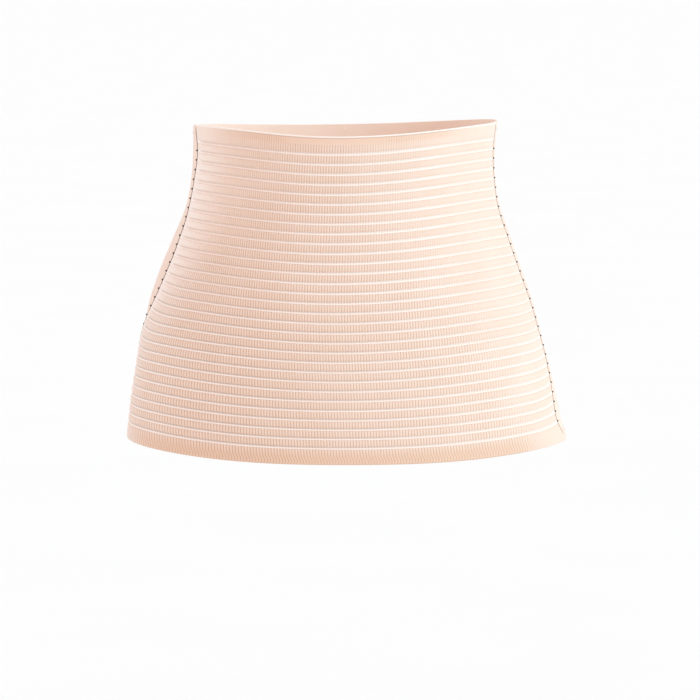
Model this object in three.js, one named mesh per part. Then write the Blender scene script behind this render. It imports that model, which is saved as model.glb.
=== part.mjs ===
// Abdominal binder, stretched on as it is worn: a striped front panel, two plain wings that run
// from its side seams round to the back, and the strip that fastens the wings there.
//
// Millimetres. +Z is up, the front faces -Y, and X grows to the right as the front is seen.
// The origin is on the axis of the body it is worn on, level with the lowest point of the hem.
import * as THREE from 'three';

// The body that the binder is stretched round: full widths and depths at its two ends.
const WAIST_WIDTH = 251;
const WAIST_DEPTH = 174;
const HIP_WIDTH = 367;
const HIP_DEPTH = 222;

// The striped web of the front panel, from its top edge down.
const HEADER_HEIGHT = 12.6;
const STRIPE_COUNT = 31;
const STRIPE_HEIGHT = 2.6;
const BAND_HEIGHT = 5.33;
const HEM_HEIGHT = 12.2;

// How far the rows hang below the sides, at the middle of the front and of the back, and how far
// the right side of the top edge is above the left.
const FRONT_DIP = 9.5;
const BACK_DIP = 5;
const TOP_TILT = 4.6;

// Webs, from the body outwards.
const WING_THICKNESS = 1.6;
const PANEL_THICKNESS = 2.2;
const STRIPE_RECESS = 0.8;
const FASTENER_THICKNESS = 2;

// Joins. A web that laps another stays a lap gap clear of it.
const LAP_GAP = 0.4;
const SEAM_LAP = 8;
const WING_END_GAP = 3;
const FASTENER_WIDTH = 60;
const FASTENER_INSET = 5;

const HEIGHT =
  HEADER_HEIGHT + STRIPE_COUNT * STRIPE_HEIGHT + (STRIPE_COUNT - 1) * BAND_HEIGHT + HEM_HEIGHT;

// How finely the faces are cut.
const PANEL_COLUMNS = 24;
const WING_COLUMNS = 18;
const FASTENER_COLUMNS = 6;
const PLAIN_ROWS = 20;

// The body from the hem up. height is a share of HEIGHT. width, front and back run from 0 at the
// waist's half size to 1 at the hip's. shift moves the section sideways, as a share of HIP_WIDTH.
// bend is the power that makes a row rise from the front's middle to the sides.
const BODY_SECTIONS = [
  { height: 0.00, width: 1.000, front: 0.92, back: 1.17, shift: 0.0120, bend: 1.8 },
  { height: 0.05, width: 0.950, front: 0.96, back: 1.13, shift: 0.0080, bend: 2.0 },
  { height: 0.13, width: 0.890, front: 1.00, back: 1.03, shift: 0.0050, bend: 2.4 },
  { height: 0.23, width: 0.798, front: 1.02, back: 0.82, shift: 0.0020, bend: 2.7 },
  { height: 0.33, width: 0.700, front: 1.00, back: 0.54, shift: -0.0020, bend: 3.0 },
  { height: 0.43, width: 0.598, front: 0.92, back: 0.24, shift: -0.0050, bend: 3.2 },
  { height: 0.54, width: 0.427, front: 0.77, back: -0.03, shift: -0.0060, bend: 3.4 },
  { height: 0.64, width: 0.253, front: 0.56, back: -0.20, shift: -0.0035, bend: 3.6 },
  { height: 0.74, width: 0.082, front: 0.34, back: -0.26, shift: -0.0010, bend: 3.6 },
  { height: 0.85, width: 0.002, front: 0.14, back: -0.20, shift: 0.0010, bend: 3.7 },
  { height: 1.00, width: 0.004, front: -0.08, back: 0.00, shift: 0.0055, bend: 3.8 },
];

// Where the two side seams run: the turn from the front's middle, in degrees, on each side.
const SEAM_LINES = [
  { height: 0.00, left: 94.5, right: 80.0 },
  { height: 0.07, left: 94.5, right: 75.0 },
  { height: 0.18, left: 93.8, right: 76.9 },
  { height: 0.26, left: 91.6, right: 78.4 },
  { height: 0.32, left: 87.6, right: 78.6 },
  { height: 0.38, left: 80.4, right: 77.8 },
  { height: 0.45, left: 74.0, right: 77.1 },
  { height: 0.56, left: 70.7, right: 76.5 },
  { height: 0.66, left: 71.7, right: 76.1 },
  { height: 0.75, left: 74.3, right: 76.4 },
  { height: 0.83, left: 73.9, right: 76.8 },
  { height: 0.92, left: 71.7, right: 75.2 },
  { height: 1.00, left: 75.0, right: 77.0 },
];

// The back is flatter than the front: the power of the cosine that gives its reach.
const BACK_FLATNESS = 0.88;
const BACK_TURN = 180;

// A smooth curve through one column of a table that is ordered by height.
function columnAt(table, name, height) {
  const last = table.length - 2;
  let row = 0;
  while (row < last && height > table[row + 1].height) {
    row += 1;
  }
  const low = table[row];
  const high = table[row + 1];
  const before = table[Math.max(row - 1, 0)];
  const after = table[Math.min(row + 2, table.length - 1)];
  const span = high.height - low.height;
  const share = (height - low.height) / span;
  const lowSlope = ((high[name] - before[name]) / (high.height - before.height)) * span;
  const highSlope = ((after[name] - low[name]) / (after.height - low.height)) * span;
  const cubed = share ** 3;
  const squared = share ** 2;
  return (
    (2 * cubed - 3 * squared + 1) * low[name] +
    (cubed - 2 * squared + share) * lowSlope +
    (3 * squared - 2 * cubed) * high[name] +
    (cubed - squared) * highSlope
  );
}

// The body's reach from its axis, between the waist's half size and the hip's.
function reach(waist, hip, share) {
  return waist / 2 + ((hip - waist) / 2) * share;
}

// A point of the body's surface. turn is in degrees from the front's middle, towards +X.
function bodyPoint(turn, height) {
  const angle = THREE.MathUtils.degToRad(turn);
  const ahead = Math.cos(angle);
  const aside = Math.sin(angle);
  const half = reach(WAIST_WIDTH, HIP_WIDTH, columnAt(BODY_SECTIONS, 'width', height));
  const front = reach(WAIST_DEPTH, HIP_DEPTH, columnAt(BODY_SECTIONS, 'front', height));
  const back = reach(WAIST_DEPTH, HIP_DEPTH, columnAt(BODY_SECTIONS, 'back', height));
  const shift = HIP_WIDTH * columnAt(BODY_SECTIONS, 'shift', height);
  const bend = columnAt(BODY_SECTIONS, 'bend', height);
  const dip = ahead > 0 ? FRONT_DIP * ahead ** bend : BACK_DIP * ahead ** 2;
  const tilt = (TOP_TILT / 2) * height * aside;
  return new THREE.Vector3(
    shift + half * aside,
    ahead > 0 ? -front * ahead : back * Math.abs(ahead) ** BACK_FLATNESS,
    height * HEIGHT + FRONT_DIP - dip + tilt,
  );
}

// The direction out of the body's surface.
function bodyNormal(turn, height) {
  const turnStep = 0.5;
  const heightStep = 0.004;
  const around = bodyPoint(turn + turnStep, height).sub(bodyPoint(turn - turnStep, height));
  const upward = bodyPoint(turn, Math.min(height + heightStep, 1));
  upward.sub(bodyPoint(turn, Math.max(height - heightStep, 0)));
  return around.cross(upward).normalize();
}

// A point that lies off the body's surface by the given distance.
function offBody(turn, height, distance) {
  return bodyPoint(turn, height).addScaledVector(bodyNormal(turn, height), distance);
}

// How many degrees of turn a length along the web takes at this place.
function turnOf(length, turn, height) {
  return length / bodyPoint(turn + 0.5, height).distanceTo(bodyPoint(turn - 0.5, height));
}

// Rows of a plain face between two height shares. All plain faces share the same inner rows.
function plainRows(low, high, distance) {
  const shared = Array.from({ length: PLAIN_ROWS }, (_, row) => row / (PLAIN_ROWS - 1));
  const between = shared.filter((height) => height > low && height < high);
  return [low, ...between, high].map((height) => ({ height, distance }));
}

// Rows of the striped face: bands stand at the full distance, and each stripe is a groove.
function stripedRows(distance) {
  const rows = [{ height: 0, distance }];
  let level = HEM_HEIGHT;
  for (let stripe = 0; stripe < STRIPE_COUNT; stripe += 1) {
    rows.push({ height: level / HEIGHT, distance });
    rows.push({ height: (level + STRIPE_HEIGHT / 2) / HEIGHT, distance: distance - STRIPE_RECESS });
    rows.push({ height: (level + STRIPE_HEIGHT) / HEIGHT, distance });
    level += STRIPE_HEIGHT + BAND_HEIGHT;
  }
  rows.push({ height: 1, distance });
  return rows;
}

// A closed wall of web between an inner and an outer face. turnAt(column, height) gives the turn
// of a column, and both faces have the same columns.
function webGeometry(columns, innerRows, outerRows, turnAt) {
  const points = [];
  const triangles = [];
  const addFace = (rows) =>
    rows.map((row) =>
      Array.from({ length: columns + 1 }, (_, column) => {
        const turn = turnAt(column, row.height);
        points.push(...offBody(turn, row.height, row.distance).toArray());
        return points.length / 3 - 1;
      }),
    );
  const addQuad = (a, b, c, d) => triangles.push(a, b, c, a, c, d);
  const inner = addFace(innerRows);
  const outer = addFace(outerRows);
  for (let column = 0; column < columns; column += 1) {
    for (let row = 1; row < outer.length; row += 1) {
      const [low, high] = [outer[row - 1], outer[row]];
      addQuad(low[column], low[column + 1], high[column + 1], high[column]);
    }
    for (let row = 1; row < inner.length; row += 1) {
      const [low, high] = [inner[row - 1], inner[row]];
      addQuad(low[column], high[column], high[column + 1], low[column + 1]);
    }
    const [innerLow, outerLow] = [inner[0], outer[0]];
    const [innerHigh, outerHigh] = [inner.at(-1), outer.at(-1)];
    addQuad(innerLow[column], innerLow[column + 1], outerLow[column + 1], outerLow[column]);
    addQuad(outerHigh[column], outerHigh[column + 1], innerHigh[column + 1], innerHigh[column]);
  }
  closeEdge(triangles, innerRows, outerRows, inner, outer, 0);
  closeEdge(triangles, outerRows, innerRows, outer, inner, columns);
  const geometry = new THREE.BufferGeometry();
  geometry.setAttribute('position', new THREE.Float32BufferAttribute(points, 3));
  geometry.setIndex(triangles);
  geometry.computeVertexNormals();
  return geometry;
}

// The upright edge between two faces whose rows are at different heights.
function closeEdge(triangles, firstRows, secondRows, first, second, column) {
  let [i, j] = [0, 0];
  while (i < first.length - 1 || j < second.length - 1) {
    const firstNext = i < first.length - 1 ? firstRows[i + 1].height : Infinity;
    const secondNext = j < second.length - 1 ? secondRows[j + 1].height : Infinity;
    if (firstNext <= secondNext) {
      triangles.push(first[i][column], second[j][column], first[i + 1][column]);
      i += 1;
    } else {
      triangles.push(first[i][column], second[j][column], second[j + 1][column]);
      j += 1;
    }
  }
}

function piece(name, geometry, color) {
  const material = new THREE.MeshStandardMaterial({ color, roughness: 0.9, metalness: 0 });
  const mesh = new THREE.Mesh(geometry, material);
  mesh.name = name;
  return mesh;
}

// The turn of a side seam. side is -1 for the left seam and 1 for the right one.
function seamTurn(side, height) {
  return side * columnAt(SEAM_LINES, side < 0 ? 'left' : 'right', height);
}

// The turn of a wing's front edge, which the front panel laps.
function lapTurn(side, height) {
  const seam = seamTurn(side, height);
  return seam - side * turnOf(SEAM_LAP, seam, height);
}

// The striped web between the side seams, lapped over both wings by one column each.
function frontPanel() {
  const inside = WING_THICKNESS + LAP_GAP;
  const turnAt = (column, height) => {
    if (column === 0 || column === PANEL_COLUMNS) {
      return seamTurn(column === 0 ? -1 : 1, height);
    }
    const share = (column - 1) / (PANEL_COLUMNS - 2);
    return THREE.MathUtils.lerp(lapTurn(-1, height), lapTurn(1, height), share);
  };
  const innerRows = plainRows(0, 1, inside);
  const outerRows = stripedRows(inside + PANEL_THICKNESS);
  return piece('front_panel', webGeometry(PANEL_COLUMNS, innerRows, outerRows, turnAt), 0xeed2c0);
}

// A plain web from under the front panel's edge to the middle of the back.
function wing(name, side) {
  const turnAt = (column, height) => {
    const step = side > 0 ? column : WING_COLUMNS - column;
    if (step === 0) {
      return lapTurn(side, height);
    }
    const end = side * (BACK_TURN - turnOf(WING_END_GAP / 2, BACK_TURN, height));
    return THREE.MathUtils.lerp(seamTurn(side, height), end, (step - 1) / (WING_COLUMNS - 1));
  };
  const innerRows = plainRows(0, 1, 0);
  const outerRows = plainRows(0, 1, WING_THICKNESS);
  return piece(name, webGeometry(WING_COLUMNS, innerRows, outerRows, turnAt), 0xf2dccb);
}

// The fastening strip over the wings' ends, in the middle of the back.
function backFastener() {
  const inside = WING_THICKNESS + LAP_GAP;
  const low = FASTENER_INSET / HEIGHT;
  const turnAt = (column, height) => {
    const share = column / FASTENER_COLUMNS - 0.5;
    return BACK_TURN + share * turnOf(FASTENER_WIDTH, BACK_TURN, height);
  };
  const innerRows = plainRows(low, 1 - low, inside);
  const outerRows = plainRows(low, 1 - low, inside + FASTENER_THICKNESS);
  const geometry = webGeometry(FASTENER_COLUMNS, innerRows, outerRows, turnAt);
  return piece('back_fastener', geometry, 0xead3c4);
}

const binder = new THREE.Group();
binder.add(frontPanel(), wing('left_wing', -1), wing('right_wing', 1), backFastener());

export default binder;
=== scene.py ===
import math

import bpy
import numpy as np
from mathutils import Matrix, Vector


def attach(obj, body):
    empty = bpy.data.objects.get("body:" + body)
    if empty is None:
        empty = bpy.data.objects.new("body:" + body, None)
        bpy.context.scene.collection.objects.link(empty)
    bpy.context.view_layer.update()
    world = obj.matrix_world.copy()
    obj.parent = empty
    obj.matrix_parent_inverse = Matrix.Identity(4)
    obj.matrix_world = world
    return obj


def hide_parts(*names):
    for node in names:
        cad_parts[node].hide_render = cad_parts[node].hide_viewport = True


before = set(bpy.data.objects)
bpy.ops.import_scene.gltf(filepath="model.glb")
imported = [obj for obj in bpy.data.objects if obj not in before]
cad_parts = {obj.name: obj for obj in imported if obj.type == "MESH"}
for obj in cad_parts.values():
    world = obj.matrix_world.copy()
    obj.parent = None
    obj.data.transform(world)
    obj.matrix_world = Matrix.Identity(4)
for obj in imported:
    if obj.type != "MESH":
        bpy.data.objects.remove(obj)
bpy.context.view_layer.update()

# An abdominal binder in its worn shape. Metres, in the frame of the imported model: +Z up, the
# front faces -Y, and the origin is level with the lowest point of the hem.
MM = 0.001
BODY = "root"


def named_columns(names, *rows):
    """The columns of a table by their names, each as an array."""
    return dict(zip(names.split(), np.array(rows).T))


# The body that the binder is stretched round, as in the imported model.
WAIST_WIDTH = 251 * MM
WAIST_DEPTH = 174 * MM
HIP_WIDTH = 367 * MM
HIP_DEPTH = 222 * MM
HEADER_HEIGHT = 12.6 * MM
STRIPE_COUNT = 31
STRIPE_HEIGHT = 2.6 * MM
BAND_HEIGHT = 5.33 * MM
HEM_HEIGHT = 12.2 * MM
HEIGHT = (
    HEADER_HEIGHT + STRIPE_COUNT * STRIPE_HEIGHT + (STRIPE_COUNT - 1) * BAND_HEIGHT + HEM_HEIGHT
)
HEADER_FOOT = HEIGHT - HEADER_HEIGHT
FRONT_DIP = 9.5 * MM
BACK_DIP = 5 * MM
TOP_TILT = 4.6 * MM
BACK_FLATNESS = 0.88
BACK_TURN = 180.0

# Webs, from the body outwards, and how they lap.
WING_THICKNESS = 1.6 * MM
PANEL_THICKNESS = 2.2 * MM
FASTENER_THICKNESS = 2 * MM
LAP_GAP = 0.4 * MM
SEAM_LAP = 8 * MM
WING_END_GAP = 0.1 * MM
FASTENER_WIDTH = 60 * MM
FASTENER_INSET = 5 * MM
PANEL_INSIDE = WING_THICKNESS + LAP_GAP
PANEL_OUTSIDE = PANEL_INSIDE + PANEL_THICKNESS

# The body from the hem up, and the turns of the two side seams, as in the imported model.
BODY_SECTIONS = named_columns(
    "height width front back shift bend",
    (0.00, 1.000, 0.92, 1.17, 0.0120, 1.8),
    (0.05, 0.950, 0.96, 1.13, 0.0080, 2.0),
    (0.13, 0.890, 1.00, 1.03, 0.0050, 2.4),
    (0.23, 0.798, 1.02, 0.82, 0.0020, 2.7),
    (0.33, 0.700, 1.00, 0.54, -0.0020, 3.0),
    (0.43, 0.598, 0.92, 0.24, -0.0050, 3.2),
    (0.54, 0.427, 0.77, -0.03, -0.0060, 3.4),
    (0.64, 0.253, 0.56, -0.20, -0.0035, 3.6),
    (0.74, 0.082, 0.34, -0.26, -0.0010, 3.6),
    (0.85, 0.002, 0.14, -0.20, 0.0010, 3.7),
    (1.00, 0.004, -0.08, 0.00, 0.0055, 3.8),
)
SEAM_LINES = named_columns(
    "height left right",
    (0.00, 94.5, 80.0),
    (0.07, 94.5, 75.0),
    (0.18, 93.8, 76.9),
    (0.26, 91.6, 78.4),
    (0.32, 87.6, 78.6),
    (0.38, 80.4, 77.8),
    (0.45, 74.0, 77.1),
    (0.56, 70.7, 76.5),
    (0.66, 71.7, 76.1),
    (0.75, 74.3, 76.4),
    (0.83, 73.9, 76.8),
    (0.92, 71.7, 75.2),
    (1.00, 75.0, 77.0),
)

# How far the rows of the stretched web lie above their even spacing, in millimetres. It dies out
# round the sides, between SHIFT_FADE's two cosines of the turn.
ROW_SHIFTS = named_columns(
    "height left middle right",
    (0.00, -0.8, 0.2, -0.9),
    (0.05, 0.0, 0.6, 0.0),
    (0.14, -0.4, -0.1, -0.4),
    (0.26, 0.2, -0.4, -0.5),
    (0.38, 0.3, -0.7, -0.9),
    (0.50, 0.0, -0.5, -1.0),
    (0.62, -0.7, -0.3, -1.4),
    (0.71, -0.9, -0.1, -1.6),
    (0.77, -0.7, 0.0, -1.5),
    (0.83, -0.2, 0.1, -1.4),
    (0.89, 0.5, 0.6, -0.7),
    (0.95, 0.9, 1.0, -0.5),
    (1.00, 1.8, 1.8, -0.9),
)
SHIFT_REACH = 108 * MM
SHIFT_FADE = (-0.1, 0.35)

# How far the rows are drawn up at the side seams, in millimetres. It dies out along the web.
SEAM_LIFTS = named_columns(
    "height left right",
    (0.00, 0.0, 0.0),
    (0.055, 0.0, 2.7),
    (0.17, 0.3, 2.8),
    (0.29, 2.6, 1.7),
    (0.38, 4.6, 1.6),
    (0.50, 3.4, 0.5),
    (0.59, 2.1, -0.3),
    (0.68, 1.1, -1.1),
    (0.80, 0.8, -0.7),
    (0.92, 0.9, -0.2),
    (1.00, 0.0, 0.0),
)
LIFT_SPAN = 42 * MM

# The ribs of the front panel. They fade in over RIB_FADES millimetres from a side seam.
RIB_PITCH_HEM = 2.42 * MM
RIB_PITCH_TOP = 2.22 * MM
RIB_DEPTH = 0.27 * MM
RIB_FADES = named_columns(
    "height left right",
    (0.00, 5, 65),
    (0.15, 6, 100),
    (0.36, 10, 115),
    (0.52, 35, 160),
    (0.67, 90, 180),
    (0.83, 110, 190),
    (1.00, 125, 190),
)
# How much further apart the ribs are at SPREAD_TURN degrees than in the middle.
RIB_SPREADS = named_columns(
    "height left right",
    (0.00, 0.30, 0.15),
    (0.14, 0.32, 0.18),
    (0.29, 0.24, 0.18),
    (0.44, -0.06, 0.08),
    (0.59, -0.28, -0.12),
    (0.75, -0.38, -0.33),
    (1.00, -0.38, -0.38),
)
SPREAD_TURN = 55
# The spread stops growing at these shares of SPREAD_TURN.
CLOSE_LIMIT = 0.7
WIDE_LIMIT = 1.1
# Where the ribs begin to fade in, as shares of RIB_FADES, and what is left of them before that.
RIGHT_FADE_START = 0.25
LEFT_FADE_START = 0.06
LEAST_RIB = 0.12
# Where the columns of points lie in each rib, and from which phase on they are in a groove.
RIB_PHASES = (-0.5, -0.2, 0.2)
NET_PHASES = (-0.5, 0.0)
GROOVE_PHASE = 0.4
# The stripes come up next to a seam, between these distances from it. The ribs of the hem lean only
# beyond LEAN_REACH.
SEAM_FLARE = (1.5 * MM, 7 * MM)
LEAN_REACH = 4 * MM

# How the panel's surface goes down to a side seam: a valley that the seam thread lies in, and
# then a narrow lip. from_seam and drop are in millimetres.
END_PROFILE = named_columns(
    "from_seam drop",
    (0.00, 2.45),
    (0.20, 1.45),
    (0.50, 0.95),
    (0.95, 0.85),
    (1.50, 0.50),
    (2.40, 0.14),
    (3.60, 0.00),
)
# Columns of points next to a seam, the room between them and the first rib, and how far in the
# ribs bend to follow the seam, all in ribs.
END_COLUMNS = (0.0, 0.08, 0.21, 0.40, 0.63, 1.0)
END_ROOM = 0.15
SEAM_WARP_RIBS = 5.0
# How far the seam's thread lies from the seam and below the panel's outside.
THREAD_FROM_SEAM = 0.7 * MM
THREAD_DROP = 0.55 * MM

# The backing of the panel lies under its bands and stripes.
BACKING_FACE = 2.9 * MM
BACKING_INSET = 1.2 * MM
BACKING_EDGE = 0.7 * MM
BACKING_COLUMNS = 96
BACKING_ROWS = 72

# The twill of the wings: how far its three lines stand out in turn, the grid that they run over,
# and between which distances from the edge they come up.
TWILL_RISE = (0.0, 0.22 * MM, 0.11 * MM)
TWILL_COLUMNS = 234
TWILL_ROWS = 264
TWILL_EDGE = (0.5 * MM, 1.5 * MM)
# The hem at a wing's top and bottom edge, how much flatter the twill is on it, and the rolled edge.
WING_HEM = 8 * MM
WING_HEM_RISE = 0.3 * MM
WING_HEM_STEP = 0.6 * MM
HEM_CALM = 0.7
WING_ROLL = 0.9 * MM
WING_ROLL_SHARE = 0.42
WING_EDGE_ROWS = (0.25 * MM, 0.6 * MM)
WING_INNER_ROWS = 14
WING_MIDDLE_TURN = 90.0

# The closure: a field of loop pile in a ribbed border. PILE_WAVES is in radians for each column
# and row.
CLOSURE_CLEARANCE = 0.15 * MM
CLOSURE_COLUMNS = 60
CLOSURE_ROWS = 256
CLOSURE_INNER_ROWS = 20
CLOSURE_EDGE_ROWS = (0.3 * MM, 0.7 * MM)
CLOSURE_ROLL = 1.4 * MM
CLOSURE_ROLL_SHARE = 0.75
BORDER_WIDTH = 6 * MM
BORDER_STEP = 1.2 * MM
BORDER_RIB = 0.12 * MM
FIELD_DROP = 0.35 * MM
PILE_RISE = 0.10 * MM
PILE_WAVES = ((2.1, 0.7), (-1.3, 1.9))

# Threads.
THREAD_TAPER = 0.15
SEAM_THREAD_RADIUS = 0.36 * MM
SEAM_THREAD_ROWS = 180
SEAM_THREAD_FOOT = 4 * MM
SEAM_THREAD_HEAD = 1.5 * MM
LEFT_KNOT_RADIUS = 0.85 * MM
RIGHT_KNOT_RADIUS = 0.72 * MM
KNOT_LEVEL = 1.8 * MM
KNOT_RAISE = 0.5 * MM
KNOT_SINK = 0.35 * MM
KNOT_SINK_TURNS = (79, 84)
KNOT_TIP = 0.02 * MM
STITCH_RADIUS = 0.24 * MM
STITCH_LENGTH = 2.6 * MM
STITCH_GAP = 1.1 * MM
STITCH_BOW = 0.9
WING_STITCH_INSET = 1.6 * MM
WING_STITCH_MARGIN = 0.02
CLOSURE_STITCH_INSETS = (2.2 * MM, 4.8 * MM)
CLOSURE_STITCH_DEPTH = 0.12 * MM
CLOSURE_STITCH_REACH = 0.98
CLOSURE_STITCH_ROWS = 60

# The camera: the photograph's angle, distance and framing.
CAMERA_ELEVATION = math.radians(6)
CAMERA_DISTANCE = 3.2
CAMERA_TARGET = Vector((6.0 * MM, 0, 82.9 * MM))
IMAGE_SIDE = 700
METRES_PER_PIXEL = 0.845 * MM
SENSOR_WIDTH = 36

# How lengths along the web are measured: how many degrees each way, and in what steps.
SCALE_REACH = 200
SCALE_STEP = 1.0

# The Edge map's values on a piece without a seam, and the angle from which an edge stays sharp.
NO_SEAM = (100.0, 1.0)
SHARP_ANGLE = math.radians(50)


def smooth_step(low, high, value):
    share = np.clip((value - low) / (high - low), 0, 1)
    return share * share * (3 - 2 * share)


def column_at(table, name, height):
    """A smooth curve through one column of a table that is ordered by height."""
    levels = table["height"]
    values = table[name]
    low = np.clip(np.searchsorted(levels, height) - 1, 0, len(levels) - 2)
    high = low + 1
    before = np.maximum(low - 1, 0)
    after = np.minimum(low + 2, len(levels) - 1)
    span = levels[high] - levels[low]
    share = (height - levels[low]) / span
    low_slope = (values[high] - values[before]) / (levels[high] - levels[before]) * span
    high_slope = (values[after] - values[low]) / (levels[after] - levels[low]) * span
    cubed = share**3
    squared = share**2
    return (
        (2 * cubed - 3 * squared + 1) * values[low]
        + (cubed - 2 * squared + share) * low_slope
        + (3 * squared - 2 * cubed) * values[high]
        + (cubed - squared) * high_slope
    )


def side_curve(table, side, height):
    """The smooth curve for one side: side is -1 for the left and 1 for the right."""
    return column_at(table, "left" if side < 0 else "right", height)


def side_values(table, height, on_right):
    """Straight lines through the right column where on_right holds, or else the left one."""
    left = np.interp(height, table["height"], table["left"])
    right = np.interp(height, table["height"], table["right"])
    return np.where(on_right, right, left)


def row_shift(turn, height, aside):
    """How far a row lies above its even spacing. aside is its place across the body."""
    ahead = smooth_step(*SHIFT_FADE, np.cos(np.radians(turn)))
    middle = column_at(ROW_SHIFTS, "middle", height)
    share = np.clip(aside / SHIFT_REACH, -1, 1)
    side = np.where(share < 0, *(side_curve(ROW_SHIFTS, way, height) for way in (-1, 1)))
    return (middle + (side - middle) * smooth_step(0, 1, np.abs(share))) * ahead * MM


def reach(waist, hip, share):
    """The body's reach from its axis, between the waist's half size and the hip's."""
    return waist / 2 + (hip - waist) / 2 * share


def body_point(turn, height):
    """Points of the body's surface. turn is in degrees from the front's middle, towards +X."""
    turn, height = np.broadcast_arrays(turn, height)
    ahead = np.cos(np.radians(turn))
    aside = np.sin(np.radians(turn))
    forward = np.maximum(ahead, 0)
    behind = np.maximum(-ahead, 0)
    at = {name: column_at(BODY_SECTIONS, name, height) for name in BODY_SECTIONS}
    half = reach(WAIST_WIDTH, HIP_WIDTH, at["width"])
    front = reach(WAIST_DEPTH, HIP_DEPTH, at["front"])
    back = reach(WAIST_DEPTH, HIP_DEPTH, at["back"])
    shift = HIP_WIDTH * at["shift"]
    dip = np.where(ahead > 0, FRONT_DIP * forward ** at["bend"], BACK_DIP * behind**2)
    depth = np.where(ahead > 0, -front * forward, back * behind**BACK_FLATNESS)
    level = height * HEIGHT + FRONT_DIP - dip + TOP_TILT / 2 * height * aside
    level = level + row_shift(turn, height, half * aside)
    return np.stack([shift + half * aside, depth, level], axis=-1)


def body_normal(turn, height):
    """The direction out of the body's surface."""
    turn_step = 0.5
    height_step = 0.004
    around = body_point(turn + turn_step, height) - body_point(turn - turn_step, height)
    upward = body_point(turn, np.minimum(height + height_step, 1))
    upward = upward - body_point(turn, np.maximum(height - height_step, 0))
    normal = np.cross(around, upward)
    return normal / np.linalg.norm(normal, axis=-1, keepdims=True)


def off_body(turn, height, distance):
    """Points that lie off the body's surface by the given distance."""
    turn, height, distance = np.broadcast_arrays(turn, height, distance)
    return body_point(turn, height) + body_normal(turn, height) * distance[..., None]


def seam_turn(side, height):
    """The turn of a side seam."""
    return side * side_curve(SEAM_LINES, side, height)


def seam_lift(side, height):
    """How far the rows are drawn up at a side seam."""
    return side_curve(SEAM_LIFTS, side, height) * MM


class RowScale:
    """Turns to lengths along rows of web and back. The length is 0 at the turn that it starts from."""

    def __init__(self, heights, distance, start=0.0, unit=None):
        """unit(turn, height) gives what the lengths are counted in, where that isn't metres."""
        heights = np.asarray(heights)[:, None]
        last = start + SCALE_REACH + SCALE_STEP / 2
        self.turns = np.arange(start - SCALE_REACH, last, SCALE_STEP)
        points = off_body(self.turns[None, :], heights, distance)
        steps = np.linalg.norm(np.diff(points, axis=1), axis=-1)
        if unit is not None:
            steps = steps / unit(self.turns[None, :-1] + SCALE_STEP / 2, heights)
        lengths = np.concatenate([np.zeros((len(steps), 1)), np.cumsum(steps, axis=1)], axis=1)
        middle = len(self.turns) // 2
        self.lengths = lengths - lengths[:, middle : middle + 1]

    def length(self, turn):
        """turn holds one value, or one row of values, for each row."""
        turn = np.asarray(turn, float)
        rows = turn.reshape(len(self.lengths), -1)
        found = [np.interp(t, self.turns, length) for t, length in zip(rows, self.lengths)]
        return np.array(found).reshape(turn.shape)

    def turn(self, length):
        """length holds one row of values for each row."""
        pairs = zip(length, self.lengths)
        return np.array([np.interp(row, lengths, self.turns) for row, lengths in pairs])


def quarter_round(share):
    """Rises from 0 to 1 as the side of a rounded edge does."""
    return np.sqrt(1 - (1 - np.clip(share, 0, 1)) ** 2)


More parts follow.
